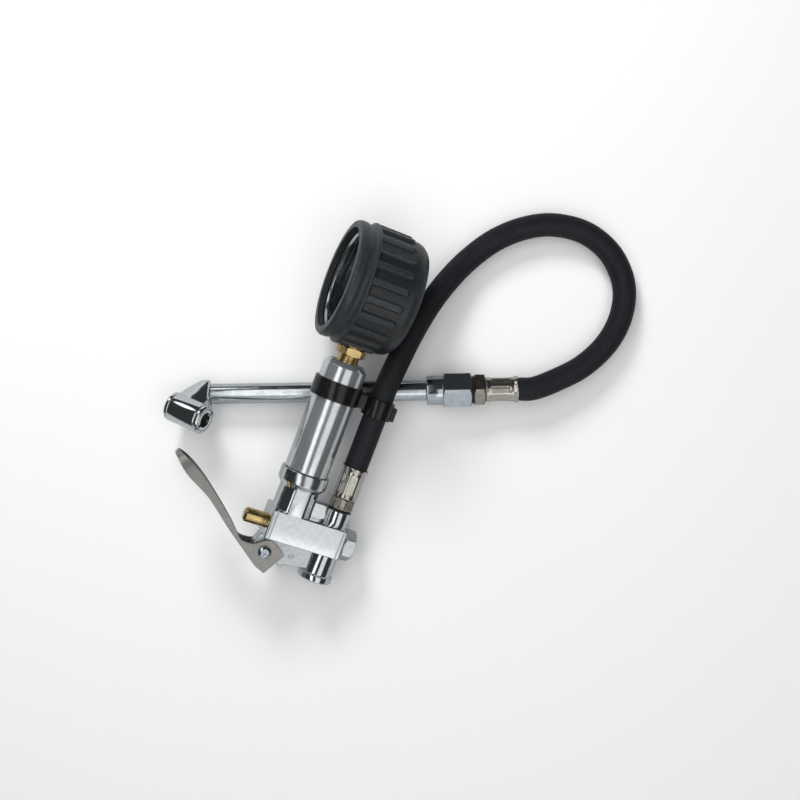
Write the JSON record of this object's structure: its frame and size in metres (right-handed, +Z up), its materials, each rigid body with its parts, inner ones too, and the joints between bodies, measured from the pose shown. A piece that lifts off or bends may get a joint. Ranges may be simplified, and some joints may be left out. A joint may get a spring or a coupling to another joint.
{
  "type": "tyre inflator with gauge",
  "caption": "Squeeze-lever air valve with a rubber-booted pressure gauge on its handle, and a hose ending in a straight stem with a two-way tyre chuck.",
  "frame": {"origin": "middle of the footprint on the bench, at bench height", "axes": "+Z up from the bench; +X along the steel stem from the chuck to the hose; +Y away from the chuck, towards the gauge"},
  "size_m": [0.299, 0.2358, 0.0827],
  "materials": {
    "chrome_plate": "bright polished plating",
    "satin_alloy": "satin",
    "zinc_plate": "bluish zinc plating",
    "nickel_plate": "warm nickel plating",
    "pressed_sheet": "brushed",
    "brass": "machined",
    "steel": "plain",
    "rubber": "matt",
    "black_plastic": "glossy moulding",
    "dial_paint": "satin paint",
    "pointer_paint": "satin paint",
    "clear_lens": "clear"
  },
  "bodies": {
    "gun": {"gauge_bezel": "chrome_plate", "valve_body": "satin_alloy", "handle_tube": "satin_alloy", "valve_plug": "satin_alloy", "case_screw_1": "zinc_plate", "case_screw_2": "zinc_plate", "ferrule_gun": "nickel_plate", "hose_nipple_gun": "nickel_plate", "gauge_stem": "brass", "movement_plate_back": "brass", "movement_plate_front": "brass", "movement_pillar_1": "brass", "movement_pillar_2": "brass", "movement_pillar_3": "brass", "bourdon_tube": "brass", "bourdon_tip": "brass", "valve_spring": "steel", "gauge_case": "steel", "dial_screw_1": "steel", "dial_screw_2": "steel", "handle_o_ring": "rubber", "port_gasket": "rubber", "plug_gasket": "rubber", "gauge_boot": "rubber", "hose_gun_section": "rubber", "hose_clip": "black_plastic", "gauge_dial": "dial_paint", "gauge_lens": "clear_lens"},
    "lever": {"squeeze_lever": "pressed_sheet", "lever_pivot_screw": "zinc_plate", "lever_pivot_nut": "zinc_plate"},
    "plunger": {"valve_plunger": "brass", "plunger_o_ring_outer": "rubber", "plunger_o_ring_inner": "rubber", "valve_seal": "rubber"},
    "sector": {"sector_gear": "brass"},
    "pointer": {"pointer_spindle": "steel", "gauge_pointer": "pointer_paint"},
    "link": {"movement_link": "brass"},
    "hose_loop": {"hose_loop_section": "rubber"},
    "chuck_line": {"hose_stem_section": "rubber", "ferrule_stem": "nickel_plate", "hose_nipple_stem": "nickel_plate", "nipple_o_ring": "rubber", "stem_adaptor": "zinc_plate", "stem_tube": "chrome_plate", "chuck_head": "chrome_plate", "chuck_seal_near": "rubber", "seal_retainer_near": "chrome_plate", "chuck_seal_far": "rubber", "seal_retainer_far": "chrome_plate"},
    "depressor": {"depressor_pin": "brass"}
  },
  "joints": [
    {"name": "lever_hinge", "type": "hinge", "parent": "gun", "child": "lever", "pos_m": [-0.08657, -0.09363, 0.02862], "axis": [-0.2424, 0.1801, -0.9533], "range_deg": [0, 34], "stiffness_Nm_per_rad": 0.6},
    {"name": "plunger_slide", "type": "slide", "parent": "gun", "child": "plunger", "axis": [0.9027, -0.3181, -0.2896], "range_m": [0, 0.005], "stiffness_N_per_m": 40, "deforming": ["valve_spring"]},
    {"name": "sector_turn", "type": "hinge", "parent": "gun", "child": "sector", "pos_m": [-0.01305, 0.06292, 0.05614], "axis": [-0.9027, 0.3181, 0.2896], "range_deg": [0, 42], "stiffness_Nm_per_rad": 0.005},
    {"name": "pointer_turn", "type": "hinge", "parent": "gun", "child": "pointer", "pos_m": [-0.01689, 0.06577, 0.04101], "axis": [-0.9027, 0.3181, 0.2896], "range_deg": [-252, 0]},
    {"name": "link_slide", "type": "slide", "parent": "gun", "child": "link", "axis": [0.3537, 0.1654, 0.9206], "range_m": [0, 0.0043]},
    {"name": "hose_crown_bend", "type": "hinge", "parent": "gun", "child": "hose_loop", "pos_m": [0.08273, 0.10915, 0.00796], "axis": [0, 0, 1], "range_deg": [-10, 10], "stiffness_Nm_per_rad": 1},
    {"name": "hose_end_bend", "type": "hinge", "parent": "hose_loop", "child": "chuck_line", "pos_m": [0.08568, 0.00635, 0.01273], "axis": [0, 0, 1], "range_deg": [-10, 10], "stiffness_Nm_per_rad": 1},
    {"name": "depressor_slide", "type": "slide", "parent": "chuck_line", "child": "depressor", "axis": [0.8616, -0.3516, 0.3661], "range_m": [-0.0015, 0.0015], "stiffness_N_per_m": 50}
  ],
  "couplings": [
    {"joint": "plunger_slide", "follows": "lever_hinge", "m_per_rad": 0.008425},
    {"joint": "pointer_turn", "follows": "sector_turn", "ratio": -6},
    {"joint": "link_slide", "follows": "sector_turn", "m_per_rad": 0.00586},
    {"joint": "hose_end_bend", "follows": "hose_crown_bend", "ratio": -1}
  ]
}
